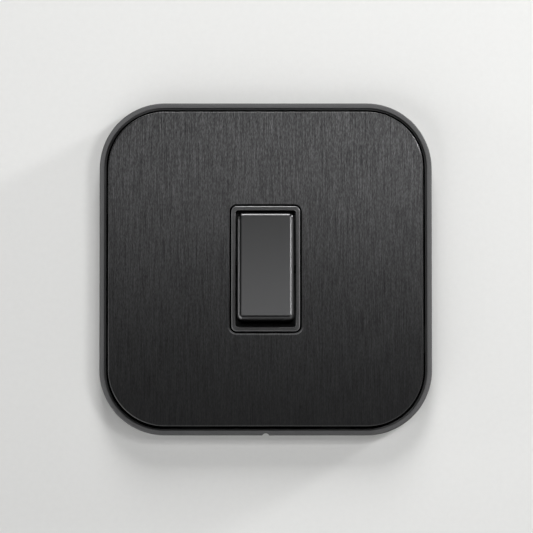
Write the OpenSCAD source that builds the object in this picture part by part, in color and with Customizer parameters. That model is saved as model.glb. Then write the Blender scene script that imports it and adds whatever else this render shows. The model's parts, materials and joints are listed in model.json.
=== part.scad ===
// Rocker light switch with a clip-on metal front plate, for a single wall box.
// Every piece is drawn lying face up: x to the right, y up the wall and z out of the wall,
// with the wall's surface at z = 0. upright() stands it up, so that +Z is up and the
// switch faces -Y. The origin is midway between the two fixing screws.

/* [Base frame] */
// Width and height of the base frame
frame_size = 95; // [94:0.5:97]
// Radius of the frame's soft corners
frame_corner_r = 18.6; // [16:0.2:20]
// How far the frame's rim stands off the wall
frame_depth = 5; // [4.8:0.1:5.6]
// Rounding of the rim's outer edge
frame_edge_r = 0.4; // [0.3:0.1:1]
// Width of the rim's flat land
land_w = 1.3; // [1:0.1:1.5]
// Width of the lower step inside the land
step_w = 0.55; // [0.4:0.05:0.7]
// How far the step lies below the land
step_drop = 1.1; // [0.6:0.1:1.2]
// Shadow gap between the step and the plate
gap_w = 0.7; // [0.5:0.05:0.8]
// Width of the pry notch in the bottom edge
notch_w = 2; // [1.6:0.1:3]
// Depth of the pry notch into the bottom edge
notch_depth = 0.6; // [0.4:0.1:0.9]

/* [Front plate] */
// Height of the plate's face above the wall
plate_height = 7; // [6.8:0.1:7.2]
// Thickness of the plate's metal sheet
plate_t = 0.8; // [0.6:0.1:1]
// Depth of the turned edge
plate_skirt = 2.4; // [2.2:0.1:2.5]
// Rounding of the plate's front edge
plate_edge_r = 0.35; // [0.2:0.05:0.5]
// Gap between the plate and the bezel
aperture_gap = 0.45; // [0.3:0.05:0.5]

/* [Bezel and rocker] */
// Width of the bezel round the rocker
bezel_w = 19.6; // [19.5:0.1:19.9]
// Height of the bezel round the rocker
bezel_h = 35.8; // [35.8:0.1:36.2]
// Thickness of the bezel's wall
bezel_wall = 1.2; // [1.15:0.05:1.3]
// Height of the bezel's face above the wall
bezel_height = 7.1; // [7:0.1:7.6]
// Width of the rocker
rocker_w = 16.2; // [16:0.1:16.4]
// Height of the rocker
rocker_h = 31.1; // [30.5:0.1:31.2]
// Rounding of the rocker's front edges
rocker_edge_r = 1.3; // [1:0.1:1.3]
// Radius of the rocker's corners, seen from the front
rocker_corner_r = 1.5; // [1.4:0.1:2]
// Tilt of the rocker either side of level, in degrees
rocker_tilt = 7; // [6.5:0.25:7]
// Distance from the rocker's pivot to its face
rocker_rise = 6.3; // [6.1:0.1:6.6]
// Radius of the rocker's trunnions
trunnion_r = 1.2; // [1:0.1:1.2]

/* [Contacts] */
// Degrees that the blade turns for each degree of the rocker
blade_ratio = 1.2; // [1.1:0.05:1.2]
// Distance from the rocker's pivot to the blade's front face
blade_distance = 11; // [10.9:0.1:11.2]
// Distance of the contact tips from the fulcrum
tip_offset = 10.5; // [10:0.1:10.6]
// Radius of the plunger and its round nose
plunger_r = 2; // [1.8:0.1:2]

/* [Fixings and terminals] */
// Spacing of the fixing screws
fixing_spacing = 60.3; // [60:0.1:60.6]
// Outer radius of the fixing screws' thread
fixing_r = 1.75; // [1.7:0.05:1.8]
// Length of the fixing screws under the head
fixing_length = 25; // [20:1:35]
// Radius of the terminals' wire bores
wire_bore_r = 2; // [1.8:0.1:2]
// Depth of the mechanism behind the wall's surface
mechanism_depth = 21.4; // [21.2:0.1:23]

/* [Hidden] */
$fn = 96;

// Overshoot of a cut, and the running and closing gaps
eps = 0.1;
running = 0.05;
touch = 0.02;

// Colours
plate_colour = "#77787a";
frame_colour = "#5c5d5f";
bezel_colour = "#3c3d3f";
rocker_colour = "#8a8b8d";
steel_colour = "#b9bcbf";
brass_colour = "#c9a850";
copper_colour = "#b8744a";
silver_colour = "#dcdcd8";
nylon_colour = "#e6e2d6";

// Base frame: land, step and well, from the outside in
land_inner = frame_size - 2 * land_w;
land_inner_r = frame_corner_r - land_w;
well_size = land_inner - 2 * step_w;
well_r = land_inner_r - step_w;
step_height = frame_depth - step_drop;
floor_t = 2;
pocket_floor = 1;

// Strap: a ring round the mechanism with an arm out to each fixing screw
strap_t = 1.2;
strap_top = pocket_floor + strap_t;
strap_ring = [31, 62];
strap_arms = [76, 22];
strap_r = 3.5;
stake_at = [35.4, 7.6];
stake_r = 1.2;
stake_head_r = 1.9;
stake_head_h = 0.6;
slot_length = 7;

// Front plate and its carrier
plate_size = well_size - 2 * gap_w;
plate_r = well_r - gap_w;
plate_bottom = plate_height - plate_skirt;
sheet_bottom = plate_height - plate_t;
aperture_w = bezel_w + 2 * aperture_gap;
aperture_h = bezel_h + 2 * aperture_gap;
aperture_r = 2;
aperture_lip = 0.25;
carrier_gap = 0.1;
carrier_size = plate_size - 2 * plate_t - 2 * carrier_gap;
carrier_r = plate_r - plate_t - carrier_gap;
carrier_window = [21, 29];
carrier_window_at = [26.5, 22.5];

// Snap clips: two on each side
clip_offset = 20;
clip_w = 8;
clip_outer = carrier_size / 2 - 0.05;
clip_t = 1.2;
hook_reach = gap_w + 0.15;
hook_h = 0.75;
clip_bottom = floor_t + 0.15;
catch_reach = 1.2;
catch_t = 0.5;

// Mechanism housings
flange_size = [23.6, 58];
flange_r = 3;
flange_top = 4.4;
bezel_r = aperture_r - aperture_gap;
bezel_edge_r = 0.35;
rocker_well = [bezel_w - 2 * bezel_wall, bezel_h - 2 * bezel_wall];
rocker_well_r = 0.8;
tube_size = [21.4, 37.6];
shelf_t = 1.2;
rear_size = [24.4, 47.2];
rear_wall = 1.4;
rear_r = 2;
cavity = [rear_size[0] - 2 * rear_wall, rear_size[1] - 2 * rear_wall];
back_inner = -(mechanism_depth - rear_wall);
housing_screw_at = 25.5;
housing_screw_r = 1.25;
screw_head_r = 2.2;
screw_head_h = 1.3;
ear_r = 3.2;
ear_bottom = -3.2;

// Rocker, in its own frame: the pivot at the origin and the face at z = rocker_rise
pivot_height = 3.1;
trunnion_end = 10;
cap_t = 0.7;
cap_bottom = rocker_rise - 3.5;
body_inset = 0.15;
skirt_bottom = -1.6;
stem_r = 3;
stem_end = -7.4;
stem_bore_r = plunger_r + 2 * running;
stem_bore_top = -0.6;
skirt_size = [rocker_w - 2 * body_inset, rocker_h - 2 * body_inset];
// The shelf that stops the rocker lies just below the skirt's lowest edge
shelf_top = pivot_height + skirt_bottom * cos(rocker_tilt)
    - skirt_size[1] / 2 * sin(rocker_tilt) - running;

// Plunger and spring, along the stem
tip_gap = 0.03;
plunger_tip = -(blade_distance - tip_gap);
plunger_back = -4.4;
plunger_bore_r = 1.35;
plunger_bore_end = -8;
spring_r = 1;
spring_wire_r = 0.18;
spring_turns = 10;

// Blade, in its own frame: the fulcrum's axis at the origin
blade_tilt = rocker_tilt * blade_ratio;
blade_front = 1.2;
blade_t = 0.8;
blade_back = blade_front - blade_t;
blade_size = [5.6, 24.6];
fulcrum_r = 0.8;
fulcrum_w = 4;
fulcrum_height = pivot_height - blade_distance - blade_front;
tip_r = 1.5;
tip_shank_r = 0.8;
tip_drop = 0.9;
tip_dome_r = 3;

// Fixed contacts: the front of a fixed tip is where the moving tip's dome comes to rest
dome_centre = blade_back - tip_drop + tip_dome_r;
closed_depth = tip_offset * sin(blade_tilt) - dome_centre * cos(blade_tilt) + tip_dome_r;
closed_offset = tip_offset * cos(blade_tilt) + dome_centre * sin(blade_tilt);
fixed_tip_r = 1.6;
fixed_tip_h = 0.6;
fixed_front = fulcrum_height - closed_depth - touch;
strip_t = 0.8;
strip_top = fixed_front - fixed_tip_h;
strip_bottom = strip_top - strip_t;
strip_w = 6;
strip_start = 8.6;

// Terminals: a block behind each strip, bored for the wire and tapped for its screw
line_block = [8, 8.2];
line_block_at = 17.7;
common_block = [6, 8];
// Off the line between the fixing screws, so that its wire passes the right one
common_block_at = [7.6, 4.6];
wire_height = strip_bottom - 1.1 - wire_bore_r;
thread_r = 1.75;
screw_shank_r = 1.72;
rivet_r = 1;
rivet_head_r = 1.6;
rivet_head_h = 0.4;
terminal_head_r = 2.3;
terminal_head_h = 1.6;
terminal_shank = 2.8;
entry_r = wire_bore_r + 0.4;

// Earth terminal and spring on the left arm of the strap
earth_at = [-20.5, -6.2];
earth_block = 7;
earth_bottom = -7.6;
earth_wire_height = -3.1;
spring_rivet_at = [-20.5, 6.2];
leaf_w = 5;
leaf_t = 0.4;

fixing_at = fixing_spacing / 2;
fixing_head_r = 3.3;
fixing_head_h = 2;
fixing_neck_r = 1.5;
point_h = 0.8;

// ---- Shapes that repeat ----

// Stands a piece drawn face up on its bottom edge
module upright() {
    rotate([90, 0, 0]) children();
}

// Flat outline with round corners
module rounded(w, h, r) {
    square([w - 2 * r, h], center = true);
    square([w, h - 2 * r], center = true);
    for (x = [-1, 1], y = [-1, 1])
        translate([x * (w / 2 - r), y * (h / 2 - r)]) circle(r);
}

// Upright-sided block with round corners, between two heights
module block(w, h, r, bottom, top) {
    translate([0, 0, bottom]) linear_extrude(top - bottom) rounded(w, h, r);
}

// Block whose top edge is also rounded, all the way round
module soft_block(w, h, r, edge, bottom, top) {
    module profile() {
        square([r - edge, top - bottom]);
        square([r, top - bottom - edge]);
        translate([r - edge, top - bottom - edge]) intersection() {
            circle(edge);
            square(edge);
        }
    }
    module side(offset, length) {
        translate([offset - r, 0, 0]) rotate([90, 0, 0])
            linear_extrude(length - 2 * r, center = true) profile();
    }
    translate([0, 0, bottom]) {
        translate([r - w / 2, r - h / 2, 0]) cube([w - 2 * r, h - 2 * r, top - bottom]);
        for (turn = [0, 180]) rotate(turn) {
            side(w / 2, h);
            rotate(90) side(h / 2, w);
            translate([w / 2 - r, h / 2 - r, 0]) rotate_extrude(angle = 90) profile();
            rotate(90) translate([h / 2 - r, w / 2 - r, 0])
                rotate_extrude(angle = 90) profile();
        }
    }
}

// Cut for an opening whose upper lip is rounded, all the way round
module soft_mouth(w, h, r, edge, bottom, top) {
    module lip() {
        difference() {
            translate([r - eps, top - edge]) square([edge + eps, edge + eps]);
            translate([r + edge, top - edge]) circle(edge);
            translate([r + edge, top - edge]) square([edge, 2 * edge], center = true);
        }
    }
    module side(offset, length) {
        translate([offset - r, 0, 0]) rotate([90, 0, 0])
            linear_extrude(length - 2 * r, center = true) lip();
    }
    block(w, h, r, bottom, top + eps);
    for (turn = [0, 180]) rotate(turn) {
        side(w / 2, h);
        rotate(90) side(h / 2, w);
        translate([w / 2 - r, h / 2 - r, 0]) rotate_extrude(angle = 90) lip();
        rotate(90) translate([h / 2 - r, w / 2 - r, 0]) rotate_extrude(angle = 90) lip();
    }
}

// Plain box between two limits on each axis
module brick(x, y, z) {
    translate([x[0], y[0], z[0]]) cube([x[1] - x[0], y[1] - y[0], z[1] - z[0]]);
}

// Round rod between two heights
module rod(r, bottom, top) {
    translate([0, 0, bottom]) cylinder(r = r, h = top - bottom);
}

// Round rod along x, centred on the origin
module cross_rod(r, length) {
    rotate([0, 90, 0]) cylinder(r = r, h = length, center = true);
}

// Slot along x with round ends
module slot(width, length, bottom, top) {
    block(length, width, width / 2 - 0.001, bottom, top);
}

// Straight cut across a screw's head
module screw_slot(head_r, width, bottom, top) {
    brick([-head_r - eps, head_r + eps], [-width / 2, width / 2], [bottom, top]);
}

// Copies to both ends of the y axis, or of the x axis
module both_ends(distance) {
    for (s = [-1, 1]) translate([0, s * distance, 0]) children();
}
module both_sides(distance) {
    for (s = [-1, 1]) translate([s * distance, 0, 0]) children();
}

// A piece and its mirror image below, or to the left
module and_below() {
    children();
    mirror([0, 1, 0]) children();
}
module and_left() {
    children();
    mirror([1, 0, 0]) children();
}

// Copies to the clip positions, with x pointing out of the frame
module at_clips() {
    for (turn = [0 : 90 : 270]) rotate(turn) both_ends(clip_offset) children();
}

// Outline of the strap, grown by a margin
module strap_outline(grow) {
    rounded(strap_ring[0] + 2 * grow, strap_ring[1] + 2 * grow, strap_r);
    rounded(strap_arms[0] + 2 * grow, strap_arms[1] + 2 * grow, strap_r);
}

// Frames of the two tilting bodies
module on_rocker() {
    translate([0, 0, pivot_height]) rotate([-rocker_tilt, 0, 0]) children();
}
module on_blade() {
    translate([0, 0, fulcrum_height]) rotate([blade_tilt, 0, 0]) children();
}

// ---- Plate, frame and strap ----

// Metal tray with a turned edge and the rocker's aperture
module front_plate() {
    color(plate_colour) upright() difference() {
        soft_block(plate_size, plate_size, plate_r, plate_edge_r, plate_bottom, plate_height);
        block(plate_size - 2 * plate_t, plate_size - 2 * plate_t, plate_r - plate_t,
            plate_bottom - eps, sheet_bottom);
        soft_mouth(aperture_w, aperture_h, aperture_r, aperture_lip,
            sheet_bottom - eps, plate_height);
    }
}

// Snap tongue of the carrier: a flat spring with a hook that faces outwards
module clip_tongue() {
    rotate([90, 0, 0]) linear_extrude(clip_w, center = true) polygon([
        [clip_outer - clip_t, clip_bottom],
        [clip_outer, clip_bottom],
        [clip_outer + hook_reach, clip_bottom + hook_h / 2],
        [clip_outer + hook_reach, clip_bottom + hook_h],
        [clip_outer, clip_bottom + hook_h],
        [clip_outer, plate_bottom + eps],
        [clip_outer - clip_t, plate_bottom + eps]
    ]);
}

// Plastic liner inside the plate, with the tongues that clip it to the frame
module plate_carrier() {
    color(bezel_colour) upright() {
        difference() {
            block(carrier_size, carrier_size, carrier_r, plate_bottom, sheet_bottom);
            block(aperture_w, aperture_h, aperture_r, plate_bottom - eps, sheet_bottom + eps);
            both_sides(carrier_window_at[0]) both_ends(carrier_window_at[1])
                block(carrier_window[0], carrier_window[1], 3,
                    plate_bottom - eps, sheet_bottom + eps);
        }
        at_clips() clip_tongue();
    }
}

// Frame that lies on the wall: rim, well, catches, and a pocket for the strap
module base_frame() {
    catch_inner = well_size / 2 - catch_reach;
    catch_bottom = clip_bottom + hook_h + running;
    notch_r = (notch_w * notch_w / 4 + notch_depth * notch_depth) / (2 * notch_depth);
    color(frame_colour) upright() {
        difference() {
            union() {
                difference() {
                    soft_block(frame_size, frame_size, frame_corner_r, frame_edge_r,
                        0, frame_depth);
                    block(land_inner, land_inner, land_inner_r,
                        step_height, frame_depth + eps);
                    block(well_size, well_size, well_r, floor_t, frame_depth);
                }
                at_clips() brick([catch_inner, well_size / 2 + land_w / 2],
                    [-clip_w / 2, clip_w / 2], [catch_bottom, catch_bottom + catch_t]);
            }
            translate([0, 0, pocket_floor]) linear_extrude(floor_t) strap_outline(0.2);
            // Aperture for the mechanism and for its ears
            block(rear_size[0] + 0.8, rear_size[1] + 0.8, rear_r, -eps, floor_t);
            block(2 * ear_r + 1, 2 * (housing_screw_at + ear_r) + 0.8, 2, -eps, floor_t);
            both_sides(fixing_at) slot(4.4, slot_length + 0.4, -eps, floor_t);
            // Window for the earth terminal
            translate(earth_at)
                block(earth_block + 1.2, earth_block + 1.2, 1, -eps, floor_t);
            // Openings behind the catches
            at_clips() brick([catch_inner - 0.4, well_size / 2], [1 - clip_w / 2, clip_w / 2 - 1],
                [-eps, floor_t + eps]);
            translate([0, -frame_size / 2 - notch_r + notch_depth, 0])
                rod(notch_r, -eps, frame_depth + eps);
        }
        // Stakes that hold the strap, with their heads formed over
        both_sides(stake_at[0]) both_ends(stake_at[1]) {
            rod(stake_r, pocket_floor, strap_top);
            rod(stake_head_r, strap_top, strap_top + stake_head_h);
        }
    }
}

// Steel yoke between the two housings, with slots for the fixing screws
module mounting_strap() {
    color(steel_colour) upright() difference() {
        translate([0, 0, pocket_floor]) linear_extrude(strap_t) strap_outline(0);
        block(tube_size[0] + 0.4, tube_size[1] + 0.4, 1, 0, floor_t + 1);
        both_sides(fixing_at) slot(4, slot_length, 0, floor_t + 1);
        both_sides(stake_at[0]) both_ends(stake_at[1]) rod(stake_r + running, 0, floor_t + 1);
        both_ends(housing_screw_at) rod(housing_screw_r + 0.15, 0, floor_t + 1);
        translate(earth_at) rod(rivet_r, 0, floor_t + 1);
        translate(spring_rivet_at) rod(rivet_r, 0, floor_t + 1);
    }
}

// Two screws into the lugs of the wall box, with plain necks through the slots
module fixing_screws() {
    thread_end = strap_top - fixing_length;
    color(steel_colour) upright() both_sides(fixing_at) difference() {
        union() {
            soft_head(fixing_head_r, strap_top, fixing_head_h);
            rod(fixing_neck_r, 0, strap_top);
            rod(fixing_r, thread_end + point_h, 0);
            translate([0, 0, thread_end])
                cylinder(r1 = fixing_r - point_h / 2, r2 = fixing_r, h = point_h);
        }
        for (turn = [0, 90]) rotate(turn)
            screw_slot(fixing_head_r / 2, 0.9, strap_top + fixing_head_h / 3,
                strap_top + fixing_head_h + eps);
    }
}

// Pan head: a flat disc with a rounded top edge
module soft_head(r, bottom, height) {
    edge = height / 2;
    translate([0, 0, bottom]) rotate_extrude() {
        square([r - edge, height]);
        square([r, height - edge]);
        translate([r - edge, height - edge]) intersection() {
            circle(edge);
            square(edge);
        }
    }
}

// ---- Earth connection ----

// Clamp block behind the strap, with a spigot formed over in front
module earth_terminal() {
    half = earth_block / 2;
    color(brass_colour) upright() translate(earth_at) difference() {
        union() {
            brick([-half, half], [-half, half], [earth_bottom, pocket_floor]);
            rod(rivet_r, pocket_floor, strap_top);
            rod(rivet_head_r, strap_top, strap_top + rivet_head_h);
        }
        translate([0, 0, earth_wire_height]) rotate([90, 0, 0])
            cylinder(r = wire_bore_r, h = earth_block + 2 * eps, center = true);
        rod(thread_r, earth_bottom - eps, earth_wire_height);
    }
}

// Leaf from the strap to the back of the metal plate
module earth_spring() {
    root = -3;
    bend = 3;
    crest = 13;
    top = sheet_bottom - touch;
    base = strap_top;
    color(copper_colour) upright() translate(spring_rivet_at)
        difference() {
            translate([-leaf_w / 2, 0, 0]) rotate([90, 0, 90]) linear_extrude(leaf_w)
                polygon([
                    [root, base],
                    [bend, base],
                    [crest - 1.5, top - leaf_t],
                    [crest, top - leaf_t],
                    [crest + 2, top - 1.4],
                    [crest + 2.3, top - 1.1],
                    [crest + 0.2, top],
                    [crest - 1.7, top],
                    [bend - 0.2, base + leaf_t],
                    [root, base + leaf_t]
                ]);
            rod(rivet_r, 0, base + 1);
        }
}

// Rivet through the leaf and the strap
module spring_rivet() {
    color(brass_colour) upright() translate(spring_rivet_at) {
        rod(rivet_r, pocket_floor, strap_top + leaf_t);
        rod(rivet_head_r, strap_top + leaf_t, strap_top + leaf_t + rivet_head_h);
    }
}

// ---- Housings ----

// Front half: bezel, flange, and the well that the rocker tilts in
module switch_housing() {
    shelf_bottom = shelf_top - shelf_t;
    color(bezel_colour) upright() difference() {
        union() {
            soft_block(bezel_w, bezel_h, bezel_r, bezel_edge_r, flange_top, bezel_height);
            block(flange_size[0], flange_size[1], flange_r, strap_top, flange_top);
            block(tube_size[0], tube_size[1], 1, shelf_bottom, strap_top);
        }
        soft_mouth(rocker_well[0], rocker_well[1], rocker_well_r, bezel_edge_r,
            shelf_top, bezel_height);
        // Slot in the shelf for the swing of the stem
        brick([-stem_r - 0.3, stem_r + 0.3], [-stem_r - 0.9, stem_r + 0.9],
            [shelf_bottom - eps, shelf_top + eps]);
        translate([0, 0, pivot_height]) cross_rod(trunnion_r + running, 2 * trunnion_end + 0.4);
        both_ends(housing_screw_at) {
            rod(housing_screw_r + 0.15, strap_top - eps, flange_top + eps);
            rod(screw_head_r + 0.2, flange_top - screw_head_h - eps, flange_top + eps);
        }
    }
}

// Rear half: the contact chamber, open to the front, with openings for wires and screws
module rear_housing() {
    color(bezel_colour) upright() difference() {
        union() {
            difference() {
                union() {
                    block(rear_size[0], rear_size[1], rear_r, -mechanism_depth, pocket_floor);
                    both_ends(housing_screw_at) rod(ear_r, ear_bottom, pocket_floor);
                    both_ends(rear_size[1] / 2 + 0.5) brick([-ear_r, ear_r], [-1, 1.4],
                        [ear_bottom, pocket_floor]);
                }
                block(cavity[0], cavity[1], rear_r - rear_wall, back_inner, pocket_floor + eps);
            }
            rear_supports();
        }
        both_ends(line_block_at) rod(terminal_head_r + 0.4, -mechanism_depth - eps, back_inner);
        translate(common_block_at) rod(terminal_head_r + 0.4, -mechanism_depth - eps, back_inner);
        // Wire entries: one in each end and one in the right side
        both_ends(rear_size[1] / 2) translate([0, 0, wire_height]) rotate([90, 0, 0])
            cylinder(r = entry_r, h = 2 * rear_wall + 2 * eps, center = true);
        translate([rear_size[0] / 2, common_block_at[1], wire_height])
            cross_rod(entry_r, 2 * rear_wall + 2 * eps);
        both_ends(housing_screw_at) rod(housing_screw_r + touch, ear_bottom - eps, strap_top);
    }
}

// Walls inside the chamber that hold the strips and locate the terminal blocks
module rear_supports() {
    rib_t = 1;
    rib_top = strip_bottom - 1.5;
    foot = back_inner - eps;
    line_side = line_block[0] / 2 + eps;
    common_side = common_block[1] / 2 + eps;
    and_below() {
        brick([-strip_w / 2, strip_w / 2], [strip_start, line_block_at - line_block[1] / 2 - eps],
            [foot, strip_bottom]);
        and_left() brick([line_side, line_side + rib_t],
            [line_block_at - 3, cavity[1] / 2 + eps], [foot, rib_top]);
    }
    brick([-strip_w / 2, common_block_at[0] - common_block[0] / 2 - eps],
        [-strip_w / 2, strip_w / 2], [foot, strip_bottom]);
    translate([0, common_block_at[1], 0]) and_below()
        brick([common_block_at[0] - 2, cavity[0] / 2 + eps],
            [common_side, common_side + rib_t], [foot, rib_top]);
}

// Two screws that clamp the flange, the strap and the rear housing together
module housing_screws() {
    head_bottom = flange_top - screw_head_h - eps;
    color(steel_colour) upright() both_ends(housing_screw_at) difference() {
        union() {
            rod(screw_head_r, head_bottom, head_bottom + screw_head_h);
            rod(housing_screw_r, ear_bottom + 0.4, head_bottom);
        }
        for (turn = [0, 90]) rotate(turn)
            screw_slot(screw_head_r / 2, 0.6, head_bottom + 0.5, flange_top + eps);
    }
}

// ---- Rocker and plunger ----

// Metal cap over the front of the rocker
module rocker_cap() {
    color(rocker_colour) upright() on_rocker() difference() {
        soft_block(rocker_w, rocker_h, rocker_corner_r, rocker_edge_r,
            cap_bottom, rocker_rise);
        soft_block(rocker_w - 2 * cap_t, rocker_h - 2 * cap_t, rocker_corner_r - cap_t,
            rocker_edge_r - cap_t, cap_bottom - eps, rocker_rise - cap_t);
    }
}

// Plastic rocker: a plug inside the cap, a skirt, trunnions, ribs and the plunger's stem
module rocker_body() {
    plug = [rocker_w - 2 * cap_t - 0.1, rocker_h - 2 * cap_t - 0.1];
    plug_top = rocker_rise - cap_t - running;
    wall = 1.5;
    hollow = [skirt_size[0] - 2 * wall - 1, skirt_size[1] - 2 * wall - 1];
    roof = plug_top - wall;
    rib = 1.2;
    color(bezel_colour) upright() on_rocker() difference() {
        union() {
            difference() {
                union() {
                    soft_block(plug[0], plug[1], rocker_corner_r - cap_t - running,
                        rocker_edge_r - cap_t, cap_bottom - running - eps, plug_top);
                    block(skirt_size[0], skirt_size[1], rocker_corner_r - body_inset,
                        skirt_bottom, cap_bottom - running);
                }
                block(hollow[0], hollow[1], 1, skirt_bottom - eps, roof);
            }
            brick([-hollow[0] / 2 - eps, hollow[0] / 2 + eps], [-rib / 2, rib / 2],
                [skirt_bottom, roof + eps]);
            brick([-rib / 2, rib / 2], [-hollow[1] / 2 - eps, hollow[1] / 2 + eps],
                [0, roof + eps]);
            rod(stem_r, stem_end, roof + eps);
            both_sides((skirt_size[0] / 2 + trunnion_end) / 2 - eps)
                cross_rod(trunnion_r, trunnion_end - skirt_size[0] / 2 + 2 * eps);
        }
        rod(stem_bore_r, stem_end - eps, stem_bore_top);
    }
}

// Nylon plunger with a round nose, hollow behind for the spring
module plunger() {
    nose_centre = plunger_tip + plunger_r;
    color(nylon_colour) upright() on_rocker() difference() {
        union() {
            rod(plunger_r, nose_centre, plunger_back);
            translate([0, 0, nose_centre]) rotate_extrude() intersection() {
                circle(plunger_r);
                translate([0, -plunger_r]) square(plunger_r);
            }
        }
        rod(plunger_bore_r, plunger_bore_end, plunger_back + eps);
    }
}

// Coil spring between the stem's bore and the plunger
module plunger_spring() {
    steps = 14;
    sides = 6;
    bottom = plunger_bore_end + spring_wire_r + touch;
    height = stem_bore_top - touch - spring_wire_r - bottom;
    rings = spring_turns * steps;
    points = [for (i = [0 : rings], k = [0 : sides - 1])
        let (along = 360 * i / steps, around = 360 * k / sides,
            r = spring_r + spring_wire_r * cos(around))
        [r * cos(along), r * sin(along),
            bottom + height * i / rings + spring_wire_r * sin(around)]];
    skin = [for (i = [0 : rings - 1], k = [0 : sides - 1])
        let (a = i * sides + k, b = i * sides + (k + 1) % sides)
        [a, b, b + sides, a + sides]];
    first = [for (k = [sides - 1 : -1 : 0]) k];
    last = [for (k = [0 : sides - 1]) rings * sides + k];
    color(steel_colour) upright() on_rocker()
        polyhedron(points = points, faces = concat([first], skin, [last]));
}

// ---- Contacts ----

// See-saw blade: a groove rocks on the fulcrum, and two ears keep it from sliding off
module moving_contact() {
    ear_inner = fulcrum_w / 2 + 0.1;
    color(copper_colour) upright() on_blade() difference() {
        union() {
            block(blade_size[0], blade_size[1], 1.4, blade_back, blade_front);
            and_left() brick([ear_inner, blade_size[0] / 2], [-1.4, 1.4], [-1, blade_back + eps]);
        }
        cross_rod(fulcrum_r + running, blade_size[0] + 2 * eps);
        both_ends(tip_offset) rod(tip_shank_r, blade_back - eps, blade_front + eps);
    }
}

// Silver tips riveted through the ends of the blade, domed towards the fixed tips
module moving_contact_tips() {
    color(silver_colour) upright() on_blade() both_ends(tip_offset) {
        intersection() {
            rod(tip_r, blade_back - tip_drop - eps, blade_back);
            translate([0, 0, dome_centre]) sphere(tip_dome_r);
        }
        rod(tip_shank_r, blade_back, blade_front);
    }
}

// Strip on the common terminal that rises to the round-nosed fulcrum
module fulcrum_bracket() {
    foot = common_block / 2;
    color(copper_colour) upright() difference() {
        union() {
            brick([-strip_w / 2, common_block_at[0] + foot[0]], [-strip_w / 2, strip_w / 2],
                [strip_bottom, strip_top]);
            translate(common_block_at) brick([-foot[0], foot[0]], [-foot[1], foot[1]],
                [strip_bottom, strip_top]);
            brick([-fulcrum_w / 2, fulcrum_w / 2], [-0.7, 0.7],
                [strip_top - eps, fulcrum_height]);
            translate([0, 0, fulcrum_height]) cross_rod(fulcrum_r, fulcrum_w);
        }
        translate(common_block_at) rod(rivet_r, strip_bottom - eps, strip_top + eps);
    }
}

// Brass block bored along one axis and tapped from behind, with a formed-over spigot
module clamp_block(size, spigot_at, along_x) {
    color(brass_colour) difference() {
        union() {
            brick([-size[0] / 2, size[0] / 2], [-size[1] / 2, size[1] / 2],
                [back_inner, strip_bottom]);
            translate([0, spigot_at, 0]) {
                rod(rivet_r, strip_bottom, strip_top);
                rod(rivet_head_r, strip_top, strip_top + rivet_head_h);
            }
        }
        translate([0, 0, wire_height]) rotate([90, 0, along_x ? 90 : 0])
            cylinder(r = wire_bore_r, h = max(size) + 2 * eps, center = true);
        rod(thread_r, back_inner - eps, wire_height);
    }
}

module common_terminal() {
    upright() translate(common_block_at) clamp_block(common_block, 0, true);
}
module line_1_terminal() {
    upright() translate([0, -line_block_at, 0]) clamp_block(line_block, 1.5, false);
}
module line_2_terminal() {
    upright() translate([0, line_block_at, 0]) clamp_block(line_block, -1.5, false);
}

// Contact strip over a line terminal, reaching in under the blade's end
module line_contact() {
    color(copper_colour) difference() {
        brick([-strip_w / 2, strip_w / 2],
            [strip_start, line_block_at + line_block[1] / 2 - 0.6], [strip_bottom, strip_top]);
        translate([0, closed_offset, 0]) rod(tip_shank_r, strip_bottom - eps, strip_top + eps);
        translate([0, line_block_at - 1.5, 0])
            rod(rivet_r, strip_bottom - eps, strip_top + eps);
    }
}

module line_1_contact() {
    upright() mirror([0, 1, 0]) line_contact();
}
module line_2_contact() {
    upright() line_contact();
}

// Silver tips riveted through the two contact strips
module fixed_contact_tips() {
    color(silver_colour) upright() both_ends(closed_offset) {
        rod(fixed_tip_r, strip_top, fixed_front);
        rod(tip_shank_r, strip_bottom, strip_top);
    }
}

// Clamp screw, backed off so that its end is clear of the wire bore
module terminal_screw(bore_height) {
    shank_top = bore_height - wire_bore_r - 0.1;
    head_top = shank_top - terminal_shank;
    color(brass_colour) difference() {
        union() {
            rod(screw_shank_r, head_top, shank_top);
            rod(terminal_head_r, head_top - terminal_head_h, head_top);
        }
        screw_slot(terminal_head_r, 0.8, head_top - terminal_head_h - eps,
            head_top - terminal_head_h / 2);
    }
}

module terminal_screws() {
    upright() {
        both_ends(line_block_at) terminal_screw(wire_height);
        translate(common_block_at) terminal_screw(wire_height);
        translate(earth_at) terminal_screw(earth_wire_height);
    }
}

front_plate();
plate_carrier();
base_frame();
mounting_strap();
earth_terminal();
earth_spring();
spring_rivet();
fixing_screws();
switch_housing();
rear_housing();
housing_screws();
rocker_cap();
rocker_body();
plunger();
plunger_spring();
moving_contact();
moving_contact_tips();
fulcrum_bracket();
common_terminal();
line_1_contact();
line_1_terminal();
line_2_contact();
line_2_terminal();
fixed_contact_tips();
terminal_screws();
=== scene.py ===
import json
import math

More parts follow.
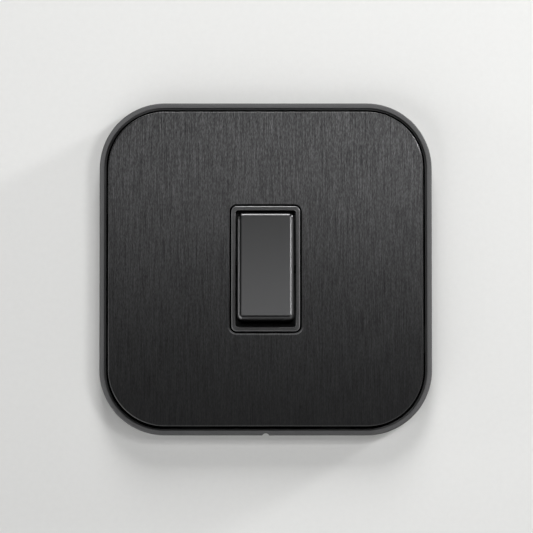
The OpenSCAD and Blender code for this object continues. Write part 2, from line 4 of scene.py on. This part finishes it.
import bmesh
import bpy
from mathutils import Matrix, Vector


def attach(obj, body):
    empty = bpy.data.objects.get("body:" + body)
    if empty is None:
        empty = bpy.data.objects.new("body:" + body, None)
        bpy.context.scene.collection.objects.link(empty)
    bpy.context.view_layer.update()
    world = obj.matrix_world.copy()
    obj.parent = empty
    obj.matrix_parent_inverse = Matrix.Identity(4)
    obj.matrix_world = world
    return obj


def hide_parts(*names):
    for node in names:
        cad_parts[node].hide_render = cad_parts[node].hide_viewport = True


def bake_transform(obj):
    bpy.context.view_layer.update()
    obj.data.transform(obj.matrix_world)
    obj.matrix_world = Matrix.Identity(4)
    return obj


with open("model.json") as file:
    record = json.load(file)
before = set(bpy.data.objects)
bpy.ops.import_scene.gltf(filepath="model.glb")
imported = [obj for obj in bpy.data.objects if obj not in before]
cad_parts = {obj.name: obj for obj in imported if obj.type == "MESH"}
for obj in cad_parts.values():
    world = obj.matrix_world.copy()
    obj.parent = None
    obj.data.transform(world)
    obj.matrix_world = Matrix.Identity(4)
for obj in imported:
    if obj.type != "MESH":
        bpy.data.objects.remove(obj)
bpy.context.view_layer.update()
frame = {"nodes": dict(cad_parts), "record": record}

MM = 0.001
scene = bpy.context.scene
nodes = frame["nodes"]
slot_of = {part["node"]: part["material_slot"] for part in frame["record"]["subparts"]}

# Places on the object that the finishes and the painted shade and highlights follow: heights off the
# wall, half sizes, corner radii
FRAME_FRONT, FRAME_HALF, FRAME_R = 5.0 * MM, 47.5 * MM, 18.6 * MM
PLATE_FRONT, PLATE_HALF, PLATE_R = 7.0 * MM, 44.95 * MM, 16.05 * MM
OPENING_HALF_W, OPENING_HALF_H, OPENING_R = 10.5 * MM, 18.6 * MM, 2.25 * MM
BEZEL_FRONT = 7.1 * MM
ROCKER_TILT = math.radians(7.0)
ROCKER_OUT = Vector((0.0, -math.cos(ROCKER_TILT), math.sin(ROCKER_TILT)))


def put(name, data):
    """An object with the given data, linked to the scene."""
    obj = bpy.data.objects.new(name, data)
    scene.collection.objects.link(obj)
    return obj


def aim(obj, place, back):
    """Puts an object in a place, looking against the direction back."""
    obj.location = place
    obj.rotation_mode = "QUATERNION"
    obj.rotation_quaternion = (-back).to_track_quat("-Z", "Y")


def mesh_from(bm, name):
    """Frees a bmesh into a new mesh."""
    mesh = bpy.data.meshes.new(name)
    bm.to_mesh(mesh)
    bm.free()
    return mesh


# ---- Camera: straight on from a little below, as the switch was seen ----

VIEW_WIDTH = 152.4 * MM
VIEW_DISTANCE = 1.2
VIEW_ELEVATION = -3.0
VIEW_TARGET = Vector((0.23 * MM, -4.5 * MM, 0.73 * MM))
CLIP = 0.05, 20.0


def make_camera():
    data = bpy.data.cameras.new("camera")
    data.sensor_width = 36.0
    data.lens = data.sensor_width * VIEW_DISTANCE / VIEW_WIDTH
    data.clip_start, data.clip_end = CLIP
    up = math.radians(VIEW_ELEVATION)
    back = Vector((0.0, -math.cos(up), math.sin(up)))
    scene.camera = put("camera", data)
    aim(scene.camera, VIEW_TARGET + back * VIEW_DISTANCE, back)


# ---- Materials ----


class Shader:
    """A Principled material whose colour, roughness and relief come from procedural nodes."""

    def __init__(self, name, colour, roughness, metallic=0.0, specular=0.5):
        self.material = bpy.data.materials.new(name)
        self.material.use_nodes = True
        self.material.diffuse_color = (*colour, 1.0)
        self.tree = self.material.node_tree
        self.bsdf = self.tree.nodes["Principled BSDF"]
        self.bsdf.inputs["Base Color"].default_value = (*colour, 1.0)
        self.bsdf.inputs["Roughness"].default_value = roughness
        self.bsdf.inputs["Metallic"].default_value = metallic
        self.bsdf.inputs["Specular IOR Level"].default_value = specular
        self.colour, self.roughness = colour, roughness
        self.place = self.add("ShaderNodeTexCoord").outputs["Object"]

    def add(self, kind, **settings):
        node = self.tree.nodes.new(kind)
        for key, value in settings.items():
            setattr(node, key, value)
        return node

    def link(self, source, target):
        self.tree.links.new(source, target)

    def noise(self, scale, detail=3.0, roughness=0.55):
        """Noise between 0 and 1, with a feature size of 1 / scale metres along each axis."""
        mapping = self.add("ShaderNodeMapping")
        self.link(self.place, mapping.inputs["Vector"])
        mapping.inputs["Scale"].default_value = scale
        noise = self.add("ShaderNodeTexNoise")
        self.link(mapping.outputs["Vector"], noise.inputs["Vector"])
        noise.inputs["Scale"].default_value = 1.0
        noise.inputs["Detail"].default_value = detail
        noise.inputs["Roughness"].default_value = roughness
        return noise.outputs["Fac"]

    def cells(self, size):
        """Distance to the nearest of scattered points, for cast and moulded grain."""
        cell = self.add("ShaderNodeTexVoronoi")
        self.link(self.place, cell.inputs["Vector"])
        cell.inputs["Scale"].default_value = 1.0 / size
        return cell.outputs["Distance"]

    def math(self, operation, a, b):
        node = self.add("ShaderNodeMath", operation=operation)
        for socket, value in zip(node.inputs, (a, b)):
            if isinstance(value, (int, float)):
                socket.default_value = value
            else:
                self.link(value, socket)
        return node.outputs["Value"]

    def remap(self, source, low, high, start=0.3, end=0.7):
        node = self.add("ShaderNodeMapRange", clamp=False)
        self.link(source, node.inputs["Value"])
        for key, value in zip(("From Min", "From Max", "To Min", "To Max"), (start, end, low, high)):
            node.inputs[key].default_value = value
        return node.outputs["Result"]

    def vary_colour(self, source, spread, share=1.0):
        """Multiplies the colour by about 1 - spread to 1 + spread, less where share is below 1."""
        change = self.math("MULTIPLY", self.remap(source, -spread, spread), share)
        self.scale_colour(self.math("MAXIMUM", self.math("ADD", change, 1.0), 0.2))
        return self

    def scale_colour(self, factor):
        previous = self.bsdf.inputs["Base Color"]
        mix = self.add("ShaderNodeVectorMath", operation="SCALE")
        if previous.is_linked:
            self.link(previous.links[0].from_socket, mix.inputs["Vector"])
        else:
            mix.inputs["Vector"].default_value = self.colour
        self.link(factor, mix.inputs["Scale"])
        self.link(mix.outputs["Vector"], previous)

    def vector(self, operation, a, b=(0.0, 0.0, 0.0)):
        node = self.add("ShaderNodeVectorMath", operation=operation)
        self.link(a, node.inputs[0])
        node.inputs[1].default_value = b
        return node.outputs

    def behind(self, front, normal=(0.0, -1.0, 0.0)):
        """Depth behind a plane that stands front metres out along the normal."""
        return self.math("SUBTRACT", front, self.vector("DOT_PRODUCT", self.place, normal)["Value"])

    def inward(self, half_w, corner_r, half_h=None):
        """Distance in from an outline with round corners, square without half_h, negative outside."""
        flat = self.vector("MULTIPLY", self.place, (1.0, 0.0, 1.0))["Vector"]
        straight = (half_w - corner_r, 0.0, (half_h or half_w) - corner_r)
        past = self.vector("SUBTRACT", self.vector("ABSOLUTE", flat)["Vector"], straight)["Vector"]
        radius = self.vector("LENGTH", self.vector("MAXIMUM", past)["Vector"])["Value"]
        return self.math("SUBTRACT", corner_r, radius)

    def upward(self):
        """Height above the middle of the switch."""
        return self.behind(0.0, (0.0, 0.0, -1.0))

    def ramp(self, source, start, end):
        """0 up to start and 1 from end on."""
        share = self.math("DIVIDE", self.math("SUBTRACT", source, start), end - start)
        return self.math("MINIMUM", self.math("MAXIMUM", share, 0.0), 1.0)

    def tone(self, end, *shares):
        """Scales colour and gloss towards end as every share goes to 1: painted shade in gaps and on
        edges, painted highlights on edges.
        """
        together = shares[0]
        for share in shares[1:]:
            together = self.math("MULTIPLY", together, share)
        factor = self.math("SUBTRACT", 1.0, self.math("MULTIPLY", together, 1.0 - end))
        self.scale_colour(factor)
        gloss = self.bsdf.inputs["Specular IOR Level"]
        previous = gloss.links[0].from_socket if gloss.is_linked else gloss.default_value
        self.link(self.math("MULTIPLY", factor, previous), gloss)
        return self

    def vary_roughness(self, source, spread):
        result = self.remap(source, self.roughness - spread, self.roughness + spread)
        self.link(result, self.bsdf.inputs["Roughness"])
        return self

    def relief(self, source, depth, strength=1.0):
        """Bump of the given depth in metres, added on top of any before it."""
        bump = self.add("ShaderNodeBump")
        bump.inputs["Distance"].default_value = depth
        bump.inputs["Strength"].default_value = strength
        self.link(source, bump.inputs["Height"])
        normal = self.bsdf.inputs["Normal"]
        if normal.is_linked:
            self.link(normal.links[0].from_socket, bump.inputs["Normal"])
        self.link(bump.outputs["Normal"], normal)
        return self

    def grooved(self, amount, across):
        """Anisotropic gloss, spread across the direction of the brushing."""
        self.bsdf.inputs["Anisotropic"].default_value = amount
        axis = self.add("ShaderNodeCombineXYZ")
        for socket, value in zip(axis.inputs, across):
            socket.default_value = value
        self.link(axis.outputs["Vector"], self.bsdf.inputs["Tangent"])
        return self


def brushed_plate():
    m = Shader("brushed_plate", (0.0666, 0.0666, 0.0678), 0.36, metallic=1.0)
    long = m.noise((5200.0, 400.0, 110.0), detail=2.0, roughness=0.6)
    short = m.noise((5200.0, 900.0, 1100.0), detail=2.0, roughness=0.6)
    # The streaks' contrast grows towards the top: the brushing's own grain, made stronger where the
    # overhead lights would show it, which is painted light.
    streak_share = m.remap(m.upward(), 0.32, 1.02, -PLATE_HALF, 0.6 * PLATE_HALF)
    m.vary_colour(long, 0.45, streak_share).vary_colour(short, 0.45, streak_share).vary_roughness(long, 0.03)
    depth, inward = m.behind(PLATE_FRONT), m.inward(PLATE_HALF, PLATE_R)
    # Painted shade: the plate darkens on its edge walls from 0.2 mm behind its face, and nearly to
    # black on the walls round the opening, in the gaps
    m.tone(0.35, m.ramp(depth, 0.20 * MM, 0.45 * MM))
    m.tone(0.10, m.ramp(depth, 0.30 * MM, 0.60 * MM), m.ramp(inward, 10.0 * MM, 11.0 * MM))
    # Painted highlight: a thin brighter strip on the plate along the opening's lower lip, in place of
    # the light the lip would catch
    outside = m.inward(OPENING_HALF_W, OPENING_R, OPENING_HALF_H)
    m.tone(3.4, m.ramp(outside, 0.10 * MM, 0.0), m.ramp(outside, -0.38 * MM, -0.24 * MM),
           m.ramp(m.upward(), -16.6 * MM, -18.0 * MM))
    m.relief(long, 0.003 * MM, 0.3).grooved(0.75, (1.0, 0.0, 0.0))
    return m.material


def satin_cap():
    m = Shader("satin_cap", (0.1047, 0.1047, 0.1063), 0.29, metallic=1.0)
    grain = m.noise((6000.0, 6000.0, 3000.0), detail=2.0)
    m.vary_colour(grain, 0.012).vary_roughness(grain, 0.003)
    front = max(vertex.co.dot(ROCKER_OUT) for vertex in nodes["rocker_cap"].data.vertices)
    depth = m.behind(front, ROCKER_OUT)
    # Painted shade: the cap darkens almost to black from 1.15 mm behind its face, on its sides in the
    # gap round it
    m.tone(0.05, m.ramp(depth, 1.15 * MM, 1.7 * MM))
    # Painted shade: the rounded top edge, above 13.9 mm, is darkened to dim its highlight
    m.tone(0.62, m.ramp(depth, 0.0, 0.06 * MM), m.ramp(m.upward(), 13.9 * MM, 14.4 * MM))
    return m.material


def moulded(name, colour, roughness, grain, depth, speckle=0.14):
    """Moulded plastic with a fine spark-eroded grain and slightly uneven gloss."""
    m = Shader(name, colour, roughness)
    pits = m.cells(grain)
    cloud = m.noise((220.0, 220.0, 220.0), detail=3.0)
    speck = m.noise((1.2 / grain,) * 3, detail=2.0, roughness=0.7)
    m.vary_colour(cloud, 0.05).vary_colour(speck, speckle).vary_roughness(cloud, 0.04)
    m.relief(pits, depth, 0.5).relief(speck, depth, 0.5)
    return m


def frame_plastic():
    """The frame, with painted shade darkening its outer rounded edge and turning the gap round the
    plate black.
    """
    m = moulded("frame_plastic", (0.0985, 0.0985, 0.1003), 0.5, 0.22 * MM, 0.012 * MM)
    depth, inward = m.behind(FRAME_FRONT), m.inward(FRAME_HALF, FRAME_R)
    # Painted shade: darker on the outer rounded edge, within 0.4 mm of the outline
    m.tone(0.62, m.ramp(inward, 0.4 * MM, 0.1 * MM))
    # Painted shade: nearly black in the gap round the plate, from 1.6 to 3.6 mm behind the frame's
    # face
    m.tone(0.04, m.ramp(depth, 0.9 * MM, 1.6 * MM), m.ramp(inward, 1.2 * MM, 1.35 * MM),
           m.ramp(depth, 4.4 * MM, 3.6 * MM))
    return m.material


def well_plastic(name, colour, roughness, grain, relief, start, speckle, painted_edge_highlight):
    """Plastic with painted shade that turns it black from the depth start in the gaps, and a painted
    highlight on its front edges.
    """
    m = moulded(name, colour, roughness, grain, relief, speckle=speckle)
    depth = m.behind(BEZEL_FRONT)
    # Painted shade: nearly black in the wells, from the depth start, fully by 0.5 mm further, to 4 mm
    # behind the bezel's face
    m.tone(0.04, m.ramp(depth, start, start + 0.5 * MM), m.ramp(depth, 5.0 * MM, 4.0 * MM))
    # Painted highlight: the front edge roundings, 0.03 to 0.4 mm behind the bezel's face, have their
    # colour and gloss scaled by the last argument
    m.tone(painted_edge_highlight, m.ramp(depth, 0.0, 0.03 * MM), m.ramp(depth, 0.4 * MM, 0.3 * MM))
    return m.material


def rolled(name, colour, roughness, along):
    """Rolled or drawn metal with faint lines along one axis."""
    m = Shader(name, colour, roughness, metallic=1.0)
    lines = m.noise(tuple(120.0 if axis == along else 3200.0 for axis in "xyz"), detail=3.0)
    stain = m.noise((260.0, 260.0, 260.0), detail=4.0, roughness=0.6)
    m.vary_colour(stain, 0.08).vary_colour(lines, 0.07).vary_roughness(stain, 0.08)
    m.relief(lines, 0.004 * MM, 0.4)
    return m.material


def painted_wall():
    m = Shader("painted_wall", (0.80, 0.80, 0.787), 0.85, specular=0.2)
    stipple = m.noise((620.0, 620.0, 620.0), detail=4.0, roughness=0.65)
    m.vary_colour(stipple, 0.012).relief(stipple, 0.05 * MM, 0.3)
    # The wall shows from the room side only, so that the mechanism can be seen from behind
    geometry = m.add("ShaderNodeNewGeometry")
    clear = m.add("ShaderNodeBsdfTransparent")
    mix = m.add("ShaderNodeMixShader")
    m.link(geometry.outputs["Backfacing"], mix.inputs["Fac"])
    m.link(m.bsdf.outputs["BSDF"], mix.inputs[1])
    m.link(clear.outputs["BSDF"], mix.inputs[2])
    m.link(mix.outputs["Shader"], m.tree.nodes["Material Output"].inputs["Surface"])
    return m.material


MATERIALS = {
    "plate_metal": brushed_plate(),
    "rocker_metal": satin_cap(),
    "frame_plastic": frame_plastic(),
    # In the two plastics below, the last but one number is where the painted shade in the wells
    # starts, and the last scales the painted highlight on the front edges: 2.2 brightens the bezel's,
    # 1.0 leaves the black plastic's as they are.
    "bezel_plastic": well_plastic("bezel_plastic", (0.045, 0.045, 0.046), 0.36, 0.36 * MM, 0.035 * MM,
                                  0.3 * MM, 0.3, 2.2),
    "black_plastic": well_plastic("black_plastic", (0.016, 0.016, 0.017), 0.45, 0.25 * MM, 0.01 * MM,
                                  0.0, 0.14, 1.0),
    "zinc_steel": rolled("zinc_steel", (0.60, 0.61, 0.62), 0.33, "x"),
    "spring_bronze": rolled("spring_bronze", (0.72, 0.42, 0.25), 0.32, "z"),
    "brass": rolled("brass", (0.76, 0.57, 0.27), 0.30, "x"),
    "silver": rolled("silver", (0.86, 0.85, 0.82), 0.25, "y"),
    "nylon": moulded("nylon", (0.78, 0.76, 0.68), 0.42, 0.3 * MM, 0.004 * MM, speckle=0.03).material,
}


def dress(obj, slot):
    """Gives an object the material of its slot, in place of any other."""
    obj.data.materials.clear()
    obj.data.materials.append(MATERIALS[slot])


def smooth(mesh, sharp_degrees):
    for polygon in mesh.polygons:
        polygon.use_smooth = True
    mesh.set_sharp_from_angle(angle=math.radians(sharp_degrees))


def tube(bm, rings):
    """Joins rings of corners one after the other, and closes both ends."""
    around = len(rings[0])
    for above, below in zip(rings, rings[1:]):
        for k in range(around):
            n = (k + 1) % around
            bm.faces.new((above[k], above[n], below[n], below[k]))
    bm.faces.new(list(reversed(rings[0])))
    bm.faces.new(rings[-1])


# ---- Screws with real threads, in place of the plain ones ----

AROUND = 36
ROWS_PER_TURN = 10
PITCH = 0.6 * MM
THREAD_H = 0.61 * PITCH
POINT_H = 0.8 * MM
POINT_SHARE = 0.2
CREST_FLAT, FLANK = 0.15, 0.7
TOP_RINGS, SHOULDER_STEPS = 3, 8
SLOT_ABOVE = 0.2 * MM


def islands(node):
    """Lowest and highest corners of each separate solid of a CAD node."""
    bm = bmesh.new()
    bm.from_mesh(nodes[node].data)
    bmesh.ops.remove_doubles(bm, verts=bm.verts, dist=0.001 * MM)
    left, found = set(bm.verts), []
    while left:
        group, front = set(), [left.pop()]
        while front:
            vertex = front.pop()
            group.add(vertex)
            for edge in vertex.link_edges:
                other = edge.other_vert(vertex)
                if other in left:
                    left.remove(other)
                    front.append(other)
        corners = list(zip(*(vertex.co for vertex in group)))
        found.append((Vector(map(min, corners)), Vector(map(max, corners))))
    bm.free()
    return sorted(found, key=lambda box: tuple(box[0]))


def crest(turn):
    """Share of the thread's height, for a place counted in turns."""
    away = abs(turn % 1.0 - 0.5) * 2.0
    return min(1.0, max(0.0, (away - CREST_FLAT) / FLANK))


def screw_rows(head_r, head_h, neck_r, neck_h, outer_r, length):
    """Rings from the top of the head to the point, as (depth, function from turn to radius)."""
    soft = head_h * 0.5
    flat_r = head_r - soft
    rows = [(0.0, lambda turn, r=flat_r * k / (TOP_RINGS + 1): r) for k in range(1, TOP_RINGS + 1)]
    for k in range(SHOULDER_STEPS + 1):
        angle = math.radians(90.0 * k / SHOULDER_STEPS)
        r = flat_r + soft * math.sin(angle)
        rows.append((soft - soft * math.cos(angle), lambda turn, r=r: r))
    rows.append((head_h, lambda turn: head_r))
    if neck_h > 0.0:
        rows += [(head_h, lambda turn: neck_r), (head_h + neck_h, lambda turn: neck_r)]
    start, end = head_h + neck_h, length
    root_r = outer_r - THREAD_H
    steps = round((end - start) / PITCH * ROWS_PER_TURN)
    for k in range(steps + 1):
        depth = start + (end - start) * k / steps
        # The thread grows over its first turn and tapers towards the point
        taper = (end - depth) / POINT_H * (1.0 - POINT_SHARE) + POINT_SHARE
        grown = (outer_r - root_r) * min(1.0, k / ROWS_PER_TURN, taper)
        rows.append((depth, lambda turn, g=grown, s=depth / PITCH: root_r + g * crest(turn + s)))
    return rows


def add_screw(bm, centre, top, towards, rows):
    """Turns the rows about the y axis through the centre. towards is 1 where the point is at +y."""
    rings = []
    for depth, radius in rows:
        ring = []
        for k in range(AROUND):
            turn = k / AROUND
            angle, r = math.tau * turn, radius(turn)
            ring.append(bm.verts.new((centre[0] + r * math.cos(angle), top + towards * depth,
                                      centre[1] + r * math.sin(angle) * towards)))
        rings.append(ring)
    tube(bm, rings)


def cut(obj, boxes):
    """Cuts boxes, given as lowest and highest corners, out of a mesh."""
    bm = bmesh.new()
    for low, high in boxes:
        for vertex in bmesh.ops.create_cube(bm, size=1.0)["verts"]:
            for axis in range(3):
                vertex.co[axis] = (low, high)[vertex.co[axis] > 0][axis]
    cutter = put("cutter", mesh_from(bm, "cutter"))
    modifier = obj.modifiers.new("cut", "BOOLEAN")
    modifier.operation, modifier.solver = "DIFFERENCE", "EXACT"
    modifier.object = cutter
    graph = bpy.context.evaluated_depsgraph_get()
    result = bpy.data.meshes.new_from_object(obj.evaluated_get(graph))
    obj.modifiers.clear()
    obj.data = result
    bpy.data.objects.remove(cutter)


def threaded(node, head_r, head_h, neck_r, neck_h, outer_r, towards,
             slot_w, slot_half, slot_depth, crossed):
    """Threaded screws that take the places of a CAD node's plain ones."""
    bm = bmesh.new()
    slots, cross_slots = [], []
    for low, high in islands(node):
        centre = ((low.x + high.x) / 2, (low.z + high.z) / 2)
        top, point = (low.y, high.y) if towards > 0 else (high.y, low.y)
        rows = screw_rows(head_r, head_h, neck_r, neck_h, outer_r, abs(point - top))
        add_screw(bm, centre, top, towards, rows)
        ends = sorted((top - towards * SLOT_ABOVE, top + towards * slot_depth))
        for boxes, half in ((slots, (slot_half, slot_w / 2)), (cross_slots, (slot_w / 2, slot_half))):
            boxes.append((Vector((centre[0] - half[0], ends[0], centre[1] - half[1])),
                          Vector((centre[0] + half[0], ends[1], centre[1] + half[1]))))
    bmesh.ops.recalc_face_normals(bm, faces=bm.faces)
    screws = put("threaded_" + node, mesh_from(bm, "threaded_" + node))
    cut(screws, slots)
    if crossed:
        cut(screws, cross_slots)
    smooth(screws.data, 32.0)
    dress(screws, slot_of[node])
    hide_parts(node)
    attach(screws, "switch_case")


# ---- Plunger spring ----

PIVOT = Vector((0.0, -3.1 * MM, 0.0))
TURNS = 10
CLOSED_TURNS = 1.25
CLOSED_PITCH = 2.06
WIRE_R = 0.18 * MM
PER_TURN, SIDES = 30, 12


def coil_spring():
    """A round wire coil with closed ends, in the place of the CAD spring."""
    axis, across = ROCKER_OUT, Vector((1.0, 0.0, 0.0))
    up = axis.cross(across)
    places = [vertex.co - PIVOT for vertex in nodes["plunger_spring"].data.vertices]
    heights = [place.dot(axis) for place in places]
    coil_r = max((place - axis * height).length for place, height in zip(places, heights)) - WIRE_R
    low, high = min(heights) + WIRE_R, max(heights) - WIRE_R
    closed = CLOSED_TURNS * CLOSED_PITCH * WIRE_R
    bm = bmesh.new()
    rings = []
    for k in range(TURNS * PER_TURN + 1):
        turn = k / PER_TURN
        if turn < CLOSED_TURNS:
            height = low + closed * turn / CLOSED_TURNS
        elif turn > TURNS - CLOSED_TURNS:
            height = high - closed * (TURNS - turn) / CLOSED_TURNS
        else:
            share = (turn - CLOSED_TURNS) / (TURNS - 2 * CLOSED_TURNS)
            height = low + closed + (high - low - 2 * closed) * share
        angle = math.tau * turn
        out = across * math.cos(angle) + up * math.sin(angle)
        ring = []
        for side in range(SIDES):
            around = math.tau * side / SIDES
            ring.append(bm.verts.new(PIVOT + axis * (height + WIRE_R * math.sin(around))
                                     + out * (coil_r + WIRE_R * math.cos(around))))
        rings.append(ring)
    tube(bm, rings)
    bmesh.ops.recalc_face_normals(bm, faces=bm.faces)
    spring = put("coil_spring", mesh_from(bm, "coil_spring"))
    smooth(spring.data, 50.0)
    dress(spring, slot_of["plunger_spring"])
    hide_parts("plunger_spring")
    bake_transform(spring)


# ---- Surroundings ----

WALL_HALF = 2.5
WALL_BEHIND = 0.02 * MM
WALL_HIDDEN = 1.6 * MM
WALL_AROUND = 96
DOME_R = 4.0


def make_wall():
    """A wall that is open behind the switch, inside the frame's outline."""
    around, y = WALL_AROUND, WALL_BEHIND
    r, straight = FRAME_R - WALL_HIDDEN, FRAME_HALF - FRAME_R
    hole, rim = [], []
    for k in range(around):
        angle = math.tau * (k + 0.5) / around
        x, z = math.cos(angle), math.sin(angle)
        hole.append((math.copysign(straight, x) + r * x, y, math.copysign(straight, z) + r * z))
        reach = WALL_HALF / max(abs(x), abs(z))
        rim.append((x * reach, y, z * reach))
    corners = [(x * WALL_HALF, y, z * WALL_HALF) for x, z in ((1, 1), (-1, 1), (-1, -1), (1, -1))]
    quads = [(k, k + around, (k + 1) % around + around, (k + 1) % around) for k in range(around)]
    # The rim misses the wall's corners, so a triangle fills each
    tips = [(around // 8 - 1 + side * around // 4 + around, 2 * around + side,
             around // 8 + side * around // 4 + around) for side in range(4)]
    mesh = bpy.data.meshes.new("wall")
    mesh.from_pydata(hole + rim + corners, [], quads + tips)
    wall = put("wall", mesh)
    mesh.materials.append(painted_wall())


def make_backdrop():
    """A pale dome round everything, seen by the camera but shedding no light."""
    bm = bmesh.new()
    bmesh.ops.create_uvsphere(bm, u_segments=64, v_segments=32, radius=DOME_R)
    backdrop = put("backdrop", mesh_from(bm, "backdrop"))
    for sort in ("diffuse", "glossy", "transmission", "shadow", "volume_scatter"):
        setattr(backdrop, "visible_" + sort, False)
    m = Shader("backdrop", (0.0, 0.0, 0.0), 1.0, specular=0.0)
    m.bsdf.inputs["Emission Color"].default_value = (0.74, 0.74, 0.73, 1.0)
    m.bsdf.inputs["Emission Strength"].default_value = 1.0
    backdrop.data.materials.append(m.material)


def make_world():
    """A world that sheds no light: the soft panels give all of it."""
    world = bpy.data.worlds.new("studio")
    world.use_nodes = True
    background = world.node_tree.nodes["Background"]
    background.inputs["Color"].default_value = (1.0, 1.0, 1.0, 1.0)
    background.inputs["Strength"].default_value = 0.0
    scene.world = world


def softbox(name, centre, size, watts):
    """A soft panel that faces the switch."""
    data = bpy.data.lights.new(name, "AREA")
    data.shape = "RECTANGLE"
    data.size, data.size_y = size
    data.energy = watts
    lamp = put(name, data)
    aim(lamp, centre, Vector(centre))
    lamp.visible_camera = False


# Centre, size and watts of each panel
LIGHTS = {
    "grazing": ((1.42, -0.17, 0.82), (0.10, 0.20), 24.0),
    "overhead": ((0.0, -0.407, 0.914), (0.37, 0.37), 7.7),
    "panel_low_left": ((-1.025, -0.388, -1.025), (1.9, 1.9), 24.4),
    "panel_low_right": ((0.919, -0.75, -0.919), (1.9, 1.9), 6.6),
    "edge_left": ((-1.3, -0.24, 0.10), (0.14, 0.50), 2.6),
    "near_right_high": ((0.25, -0.36, 0.14), (0.12, 0.04), 0.39),
    "near_right_low": ((0.25, -0.36, 0.05), (0.12, 0.04), 0.123),
    "strip_near": ((0.04, -0.36, 0.06), (0.30, 0.035), 0.074),
    "strip_high": ((0.04, -0.36, 0.09), (0.30, 0.035), 0.038),
    "strip_far": ((0.05, -0.85, 0.02), (0.50, 0.05), 0.035),
    "behind_left": ((-0.5, 0.6, 0.5), (0.5, 0.5), 6.0),
    "behind_right": ((0.6, 0.6, 0.3), (0.4, 0.4), 4.0),
}


make_camera()
make_wall()
make_backdrop()
make_world()
for name, (centre, size, watts) in LIGHTS.items():
    softbox(name, centre, size, watts)
scene.view_settings.view_transform = "Standard"

for name, obj in nodes.items():
    dress(obj, slot_of[name])
threaded("fixing_screws", head_r=3.3 * MM, head_h=2.0 * MM, neck_r=1.5 * MM, neck_h=2.2 * MM,
         outer_r=1.75 * MM, towards=1, slot_w=0.9 * MM, slot_half=1.75 * MM, slot_depth=1.33 * MM,
         crossed=True)
threaded("terminal_screws", head_r=2.3 * MM, head_h=1.6 * MM, neck_r=1.4 * MM, neck_h=0.0,
         outer_r=1.72 * MM, towards=-1, slot_w=0.8 * MM, slot_half=2.4 * MM, slot_depth=0.8 * MM,
         crossed=False)
coil_spring()
